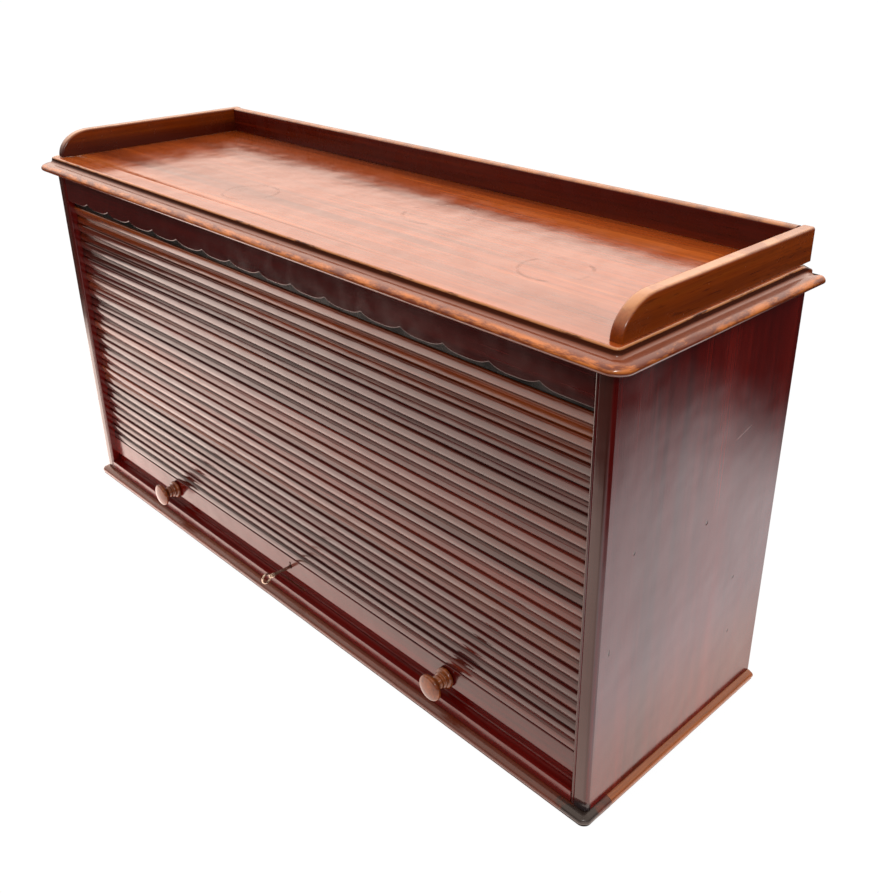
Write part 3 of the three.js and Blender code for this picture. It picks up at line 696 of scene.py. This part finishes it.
def build_gallery(woods):
    turns = [math.radians(t) for t in evenly(0, 90, 7)]
    rounding = [((1 - math.cos(t)) * GALLERY_ROUND, (1 - math.sin(t)) * GALLERY_ROUND) for t in turns]
    for side in ("left", "right"):
        node = f"gallery_{side}"
        low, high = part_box(node)
        across = [(low.x + x, inset) for x, inset in rounding]
        across += [(high.x - x, inset) for x, inset in reversed(rounding)]
        sections = []
        for x, inset in across:
            sections.append([(x, y, z - abs(waver((x, y, z), 40.0, 0.00035)) * (z > low.z + MM))
                             for y, z in gallery_outline(low, high, inset)])
        points, faces = sweep(sections)
        new_piece(f"{node}_fine", points, faces, woods["gallery_side"], "case",
                  "mahogany_edge", node, sharp=ROUNDED_SHARP_DEG)
    low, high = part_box("gallery_back")
    half = (high.y - low.y) / 2
    crown = [(y, high.z - (1 - v) * half * BACK_CROWN)
             for y, v in ((low.y + half + half * u, v) for u, v in arc(0, 0, 1, 180, 0, 16))]
    outline = [(low.y, low.z), *crown, (high.y, low.z)]
    sections = [[(x, y, z) for y, z in outline] for x in evenly(low.x, high.x, 90)]
    points, faces = sweep(sections)
    new_piece("gallery_back_fine", points, faces, woods["gallery"], "case",
              "mahogany_edge", "gallery_back", sharp=ROUNDED_SHARP_DEG)


# ---------------------------------------------------------------- tambour
SLATS = range(1, 16)
SLAT_TONES = ("orange", "orange", "brown", "red", "brown", "red", "red", "brown",
              "red", "red", "brown", "red", "red", "red", "red")  # from the top down
SLAT_SHARP_DEG = 28.0
SLAT_WAVE = 0.0003  # how far a slat is out of true
SLAT_END_GAP = 0.0005  # between a slat's face and the side
TONGUE_FRONT_Y = BACK_Y - 0.255  # front of the tongues in the grooves


def slat_outline(top, foot, front, high_y):
    """Section of one slat, (y, z): a long swell that curls in to a hollow, over a flat band."""
    swell_r, curl_r, lean = 0.023, 0.005, 20.0
    nose = front - 0.0018
    swell = arc(nose + swell_r, top - 0.0012, swell_r, 180, 180 + lean, 8)
    end_y, end_z = swell[-1]
    centre_y = end_y + curl_r * math.cos(math.radians(lean))
    centre_z = end_z + curl_r * math.sin(math.radians(lean))
    return [
        (high_y, foot), (high_y, top), (nose + 0.0009, top), (nose + 0.0003, top - 0.00015),
        (nose + 0.00005, top - 0.0005),
        *swell,
        *arc(centre_y, centre_z, curl_r, 180 + lean, 242, 8)[1:],
        (front + 0.0021, top - 0.0122), (front + 0.00175, top - 0.0129), (front + 0.0012, top - 0.0134),
        (front + 0.0005, top - 0.0138), (front + 0.0001, top - 0.0142), (front, top - 0.0148),
        (front, foot + 0.0009), (front + 0.0002, foot + 0.0003), (front + 0.0007, foot),
    ]


def along_x(outline, half, tongue, reach, wave, seed):
    """Sweeps a section from -reach to reach. Past half it shrinks to the tongue's (front, back)."""
    y_front, y_back = tongue
    stations = []
    xs = [-reach, -half, *evenly(-half, half, 72), half, reach]
    for k, x in enumerate(xs):
        thin = k < 2 or k > len(xs) - 3
        ring = []
        for y, z in outline:
            drift = waver((x * 6.0, seed, 0.0), 1.0, wave)
            ring.append((x, max(y, y_front) if thin else min(y + drift, y_back), z))
        stations.append(ring)
    return sweep(stations)


def build_tambour(woods):
    """Fifteen moulded slats, each a little out of true, and the plain strip that leads them."""
    for k, tone in zip(SLATS, SLAT_TONES):
        node = f"slat_{k:02d}"
        low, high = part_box(node)
        outline = slat_outline(high.z, low.z, BAND_Y, high.y)
        tongue = (TONGUE_FRONT_Y, high.y)
        points, faces = along_x(outline, INNER_X - SLAT_END_GAP, tongue, high.x, SLAT_WAVE, k * 7.7)
        new_piece(f"{node}_fine", points, faces, woods[f"slat_{tone}_{k % 2}"], node,
                  "mahogany_slat", node, sharp=SLAT_SHARP_DEG)
    dress("slat_leading", woods["band"], "slat_leading", "mahogany_case", TAMBOUR_EDGE)


CANVAS_T = 0.0006


def build_canvas():
    low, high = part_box("tambour_canvas")
    y = (low.y + high.y) / 2
    columns, rows = 60, 30
    points = [(low.x + (high.x - low.x) * i / columns, y, low.z + (high.z - low.z) * j / rows)
              for j in range(rows + 1) for i in range(columns + 1)]
    wide = columns + 1
    faces = [(j * wide + i, j * wide + i + 1, (j + 1) * wide + i + 1, (j + 1) * wide + i)
             for j in range(rows) for i in range(columns)]
    piece = new_piece("canvas_backing", points, faces, linen(), "case", "canvas", "tambour_canvas")
    thick = piece.modifiers.new("cloth", "SOLIDIFY")
    thick.thickness = CANVAS_T
    thick.offset = 0.0
    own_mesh(piece)


# ---------------------------------------------------------------- knobs and key
def lathe(profile, segments, centre, axis_y):
    """A turned piece about a line along Y. profile is (radius, distance forward from axis_y)."""
    sections = []
    for radius, forward in profile:
        r = max(radius, 1e-5)
        sections.append([(centre[0] + r * math.cos(t), axis_y - forward, centre[1] + r * math.sin(t))
                         for t in evenly(0, 2 * math.pi, segments)[:-1]])
    return sweep(sections)


KNOB_PROFILE_MM = (
    (9.6, 0.0), (10.6, 0.5), (11.2, 1.8), (11.1, 3.2), (10.2, 4.5), (8.4, 5.2), (8.1, 5.6), (8.7, 6.3),
    (8.8, 7.0), (8.1, 7.9), (6.9, 8.5), (6.5, 9.3), (6.6, 10.2), (7.2, 10.9), (7.3, 11.6), (6.8, 12.4),
    (6.1, 13.2), (6.0, 14.4), (6.9, 15.9), (9.3, 17.4), (12.0, 18.8), (13.6, 20.2), (14.0, 21.5),
    (13.8, 22.9), (13.0, 23.9), (11.6, 24.6), (8.0, 25.6), (4.0, 26.2), (0.6, 26.38), (0.0, 26.4),
)


def build_knobs(woods):
    for side in ("left", "right"):
        node = f"knob_{side}"
        low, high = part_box(node)
        centre = ((low.x + high.x) / 2, (low.z + high.z) / 2)
        profile = [(0.0, 0.0), *[(r * MM, d * MM) for r, d in flowing(KNOB_PROFILE_MM, 3)]]
        points, faces = lathe(profile, 72, centre, high.y)
        new_piece(f"{node}_fine", points, faces, woods["knob"], "rail", "mahogany_knob", node,
                  sharp=ROUNDED_SHARP_DEG)


KEY_SHARP_DEG = 45.0
KEY_WIRE = 0.00125  # radius of the bow's wire
KEY_BOW = 0.0066  # outer radius of the bow
KEY_SHANK_MM = (  # radius, and distance from the inner end for the first three, then from the bow
    (0.0, 0.0), (1.6, 0.0), (1.9, 0.4), (1.9, -6.8), (2.6, -6.4), (2.7, -5.6), (2.6, -4.8), (2.0, -4.4),
    (2.0, -3.6), (2.5, -3.2), (2.5, -2.4), (1.9, -1.8), (1.6, 0.0), (0.0, 0.0),
)


def key_bow(work, x, y, z):
    """Adds a ring of wire in the plane across X to the bmesh."""
    rings, sides = 48, 14
    verts = []
    for i in range(rings):
        a = 2 * math.pi * i / rings
        for j in range(sides):
            b = 2 * math.pi * j / sides
            r = KEY_BOW - KEY_WIRE + KEY_WIRE * math.cos(b)
            across = KEY_WIRE * 0.9 * math.sin(b)
            verts.append(work.verts.new((x + across, y + r * math.cos(a), z + r * math.sin(a))))
    for i in range(rings):
        for j in range(sides):
            a, b = i * sides + j, i * sides + (j + 1) % sides
            c, d = (a + sides) % len(verts), (b + sides) % len(verts)
            work.faces.new((verts[a], verts[b], verts[d], verts[c]))


def build_key(steel):
    low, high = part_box("key")
    x = (low.x + high.x) / 2
    z = low.z + KEY_BOW
    work = bmesh.new()
    key_bow(work, x, low.y + KEY_BOW, z)
    length = high.y - (low.y + 2 * KEY_BOW - 2 * KEY_WIRE)
    shank = [(r * MM, (length if k > 2 else 0.0) + d * MM) for k, (r, d) in enumerate(KEY_SHANK_MM)]
    inner, outer = high.y - 0.0042, high.y - 0.0008
    bit = [(inner, z), (inner, high.z), (outer, high.z), (outer, z)]
    for points, faces in (lathe(shank, 32, (x, z), high.y),
                          sweep([[(x + s * 0.9 * MM, y, zz) for y, zz in bit] for s in (-1, 1)])):
        made = [work.verts.new(p) for p in points]
        for face in faces:
            work.faces.new([made[i] for i in face])
    mesh = bpy.data.meshes.new("key_fine")
    work.to_mesh(mesh)
    work.free()
    mesh_piece("key_fine", mesh, steel, "key", "steel", "key", sharp=KEY_SHARP_DEG)


# ---------------------------------------------------------------- boards that keep their CAD shape
def dress_boards(woods, brass, steel):
    for node, wood in (("left_side", "side"), ("right_side", "side"), ("bottom_board", "front")):
        dress(node, woods[wood], "case", "mahogany_case", BOARD_EDGE)
    dress("frieze", woods["frieze"], "case", "mahogany_case", FRIEZE_EDGE, 3)
    dress("lift_rail", woods["front"], "rail", "mahogany_case", TAMBOUR_EDGE)
    for node in ("false_top", "false_back", "shelf_left", "shelf_right"):
        dress(node, woods["inside"], "case", "inside_wood", INSIDE_EDGE)
    dress("centre_divider", woods["divider"], "case", "inside_wood", INSIDE_EDGE)
    for k in (1, 2, 3):
        dress(f"back_board_{k}", woods["back"], "case", "back_wood", INSIDE_EDGE)
        dress(f"back_screw_{k}", steel, "case", "steel", METAL_EDGE)
    for node in ("lock_keep", "keep_screw_left", "keep_screw_right"):
        dress(node, brass, "case", "brass", METAL_EDGE)
    dress("lock_case", brass, "rail", "brass", METAL_EDGE)
    dress("lock_bolt", steel, "bolt", "steel", METAL_EDGE)
    for side in ("left", "right"):
        dress(f"knob_screw_{side}", steel, "rail", "steel", METAL_EDGE)


# ---------------------------------------------------------------- stage and light
FLOOR_HALF = 12.0
FRONT_FAR_GLOW = 0.015  # what is left of the floor's glow far in front
SIDE_GLOW, SIDE_FAR_GLOW = 1.80, 0.03
SEEN_WHITE = 1.02  # the glow that the camera sees as white
OUTSIDE_TONE = (1.12, 0.92, 0.80)
FLOOR_FRONT_TONE = (1.12, 0.90, 0.80)
FLOOR_SIDE_TONE = (1.0, 0.94, 0.95)


def beyond(paint, letter, low, high):
    """Distance past the cabinet's edges along one axis, 0 between them."""
    off_middle = paint.math("ABSOLUTE", paint.math("SUBTRACT", paint.axis(letter), (low + high) / 2))
    return paint.math("MAXIMUM", paint.math("SUBTRACT", off_middle, (high - low) / 2))


def floor_glow(paint):
    """What the polish sees of the floor, and whether the place is to the right of the cabinet (1) or not (0).

    In front it is brighter to the left. It fades out about half a metre away.
    """
    beyond_x = beyond(paint, "X", -SIDE_HIGH.x, SIDE_HIGH.x)
    beyond_y = beyond(paint, "Y", FRONT_Y, BACK_Y)
    away_front = paint.math("MAXIMUM", beyond_y, paint.times(beyond_x, 0.8))
    away_side = paint.math("MAXIMUM", beyond_x, paint.times(beyond_y, 0.8))
    near = paint.span(paint.math("MAXIMUM", beyond_x, beyond_y), 0.0, 0.16, 1.20, 1.0)
    along = paint.span(paint.axis("X"), -0.55, 0.35, 3.0, 1.25, smooth=False)
    before = paint.times(along, paint.span(away_front, 0.36, 0.58, 1.0, FRONT_FAR_GLOW))
    beside = paint.span(paint.axis("X"), SIDE_HIGH.x, SIDE_HIGH.x + 0.10)
    at_side = paint.span(away_side, 0.22, 0.54, SIDE_GLOW, SIDE_FAR_GLOW)
    return paint.times(near, paint.mix_numbers(beside, before, at_side)), beside


def build_floor():
    """A plain white floor with a soft contact shadow for the camera, and a shaped glow for the polish."""
    points = [(x * FLOOR_HALF, y * FLOOR_HALF, 0) for x, y in ((-1, -1), (1, -1), (1, 1), (-1, 1))]
    mesh = bpy.data.meshes.new("floor")
    mesh.from_pydata(points, [], [(0, 1, 2, 3)])
    floor = bpy.data.objects.new("floor", mesh)
    bpy.context.scene.collection.objects.link(floor)
    paint = Paint(bpy.data.materials.new("white_floor"))
    glow, beside = floor_glow(paint)
    shade = paint.add("ShaderNodeAmbientOcclusion", samples=8)
    shade.inputs["Distance"].default_value = 0.10
    seen = paint.span(shade.outputs["AO"], 0.0, 0.8, 0.93, SEEN_WHITE)
    by_camera = paint.add("ShaderNodeLightPath").outputs["Is Camera Ray"]
    emission = paint.add("ShaderNodeEmission")
    tone = paint.mix(beside, FLOOR_FRONT_TONE, FLOOR_SIDE_TONE)
    paint.feed(emission.inputs["Color"], paint.mix(by_camera, tone, WHITE))
    paint.feed(emission.inputs["Strength"], paint.mix_numbers(by_camera, glow, seen))
    mesh.materials.append(paint.surface("ShaderNodeOutputMaterial", emission))


def build_world():
    """A soft white room: brighter behind and to the left, dim in front."""
    world = bpy.data.worlds.new("room")
    bpy.context.scene.world = world
    paint = Paint(world, "Generated")
    height = paint.axis("Z")
    toward = paint.add("ShaderNodeVectorMath", operation="DOT_PRODUCT")
    paint.feed(toward.inputs[0], paint.place)
    toward.inputs[1].default_value = Vector((-0.72, 0.69, 0)).normalized()
    behind = paint.span(toward.outputs["Value"], 0.0, 0.75)
    rear = paint.span(height, 0.10, 0.36, 0.9, 2.6)
    ahead = paint.span(height, 0.0, 0.9, 0.14, 1.3)
    level = paint.mix_numbers(behind, ahead, rear)
    by_camera = paint.add("ShaderNodeLightPath").outputs["Is Camera Ray"]
    background = paint.add("ShaderNodeBackground")
    paint.feed(background.inputs["Color"], paint.mix(by_camera, OUTSIDE_TONE, WHITE))
    paint.feed(background.inputs["Strength"], paint.mix_numbers(by_camera, level, SEEN_WHITE))
    paint.surface("ShaderNodeOutputWorld", background)


KEY_PLACE = (2.05, -1.75, 2.1)
KEY_AIM = (0, 0, 0.25)
KEY_SIZE = (0.45, 0.35)
KEY_RADIANCE = 45.0
KEY_COLOUR = (1.0, 0.97, 0.93)


def build_key_light():
    """A small window-like area light up on the right, which puts glints on the rounded corners."""
    data = bpy.data.lights.new("key_light", "AREA")
    data.shape = "RECTANGLE"
    data.size, data.size_y = KEY_SIZE
    data.energy = KEY_RADIANCE * math.pi * data.size * data.size_y
    data.color = KEY_COLOUR
    light = bpy.data.objects.new("key_light", data)
    bpy.context.scene.collection.objects.link(light)
    light.rotation_mode = "QUATERNION"
    light.rotation_quaternion = (Vector(KEY_AIM) - Vector(KEY_PLACE)).to_track_quat("-Z", "Y")
    light.location = KEY_PLACE


# ---------------------------------------------------------------- the scene
def main():
    make_camera()
    woods = make_woods()
    brass = metal("old_brass", (0.42, 0.27, 0.09), (0.16, 0.09, 0.035), 0.35)
    steel = metal("old_steel", (0.30, 0.29, 0.28), (0.09, 0.075, 0.065), 0.30)
    key_steel = metal("rubbed_key_steel", (0.58, 0.49, 0.40), (0.20, 0.14, 0.10), 0.26)
    dress_boards(woods, brass, steel)
    build_top(woods)
    build_base(woods)
    build_gallery(woods)
    build_tambour(woods)
    build_canvas()
    build_knobs(woods)
    build_key(key_steel)
    build_floor()
    build_world()
    build_key_light()
    bpy.context.scene.view_settings.view_transform = "Standard"


main()
